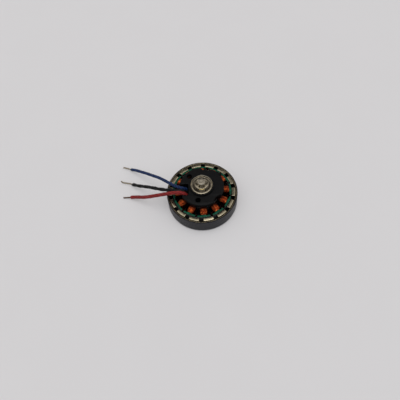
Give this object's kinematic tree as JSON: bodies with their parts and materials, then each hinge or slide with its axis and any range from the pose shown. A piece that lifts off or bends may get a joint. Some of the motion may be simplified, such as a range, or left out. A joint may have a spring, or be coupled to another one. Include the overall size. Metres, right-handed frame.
{
  "type": "brushless outrunner motor",
  "caption": "Flat brushless outrunner motor: magnet bell turning round a wound stator on a base with tapped mounting holes and three short leads.",
  "frame": {"origin": "on the shaft's axis, in the plane that the bell's closed face rests on", "axes": "+Z along the shaft from the closed face towards the mounting base; the leads leave towards -X"},
  "size_m": [0.0481, 0.0328, 0.014],
  "materials": {
    "bell_black": "satin black anodised aluminium, fine turned lines",
    "base_black": "matt black anodised aluminium",
    "flux_steel": "turned steel, thin golden plating",
    "magnet_nickel": "satin nickel plating, ground end faces",
    "shaft_steel": "ground and polished steel",
    "clip_steel": "stamped spring steel",
    "washer_brass": "bright brass",
    "bearing_steel": "ground bearing steel",
    "shield_steel": "pressed steel",
    "ball_steel": "polished",
    "cage_brass": "pressed",
    "lamination_steel": "stamped silicon steel, edges of the stack showing",
    "insulator_green": "glossy green epoxy coating",
    "winding_copper": "enamelled copper wire",
    "lead_blue": "satin sleeve over twisted strands",
    "lead_black": "satin sleeve over twisted strands",
    "lead_red": "satin sleeve over twisted strands",
    "strand_tinned": "tinned copper strands",
    "strand_copper": "bare copper strands, dulled"
  },
  "bodies": {
    "stator": {"base_mount": "base_black", "stator_core": "lamination_steel", "upper_insulator": "insulator_green", "lower_insulator": "insulator_green", "coil_01": "winding_copper", "coil_02": "winding_copper", "coil_03": "winding_copper", "coil_04": "winding_copper", "coil_05": "winding_copper", "coil_06": "winding_copper", "coil_07": "winding_copper", "coil_08": "winding_copper", "coil_09": "winding_copper", "coil_10": "winding_copper", "coil_11": "winding_copper", "coil_12": "winding_copper", "upper_outer_race": "bearing_steel", "lower_outer_race": "bearing_steel", "upper_shields": "shield_steel", "lower_shields": "shield_steel", "lead_blue": "lead_blue", "lead_blue_strands": "strand_tinned", "lead_black": "lead_black", "lead_black_strands": "strand_tinned", "lead_red": "lead_red", "lead_red_strands": "strand_copper"},
    "rotor": {"bell": "bell_black", "flux_ring": "flux_steel", "shaft": "shaft_steel", "hub_shim": "clip_steel", "thrust_washer": "washer_brass", "clip_spacer": "clip_steel", "e_clip": "clip_steel", "magnet_01": "magnet_nickel", "magnet_02": "magnet_nickel", "magnet_03": "magnet_nickel", "magnet_04": "magnet_nickel", "magnet_05": "magnet_nickel", "magnet_06": "magnet_nickel", "magnet_07": "magnet_nickel", "magnet_08": "magnet_nickel", "magnet_09": "magnet_nickel", "magnet_10": "magnet_nickel", "magnet_11": "magnet_nickel", "magnet_12": "magnet_nickel", "magnet_13": "magnet_nickel", "magnet_14": "magnet_nickel", "upper_inner_race": "bearing_steel", "lower_inner_race": "bearing_steel"},
    "upper_balls": {"upper_ball_set": "ball_steel", "upper_cage": "cage_brass"},
    "lower_balls": {"lower_ball_set": "ball_steel", "lower_cage": "cage_brass"}
  },
  "joints": [
    {"name": "rotor_spin", "type": "hinge", "parent": "stator", "child": "rotor", "pos_m": [0, 0, 0.0066], "axis": [0, 0, 1], "continuous": true},
    {"name": "upper_balls_roll", "type": "hinge", "parent": "stator", "child": "upper_balls", "pos_m": [0, 0, 0.0101], "axis": [0, 0, 1], "continuous": true},
    {"name": "lower_balls_roll", "type": "hinge", "parent": "stator", "child": "lower_balls", "pos_m": [0, 0, 0.00325], "axis": [0, 0, 1], "continuous": true}
  ],
  "couplings": [
    {"joint": "upper_balls_roll", "follows": "rotor_spin", "ratio": 0.37},
    {"joint": "lower_balls_roll", "follows": "rotor_spin", "ratio": 0.37}
  ]
}
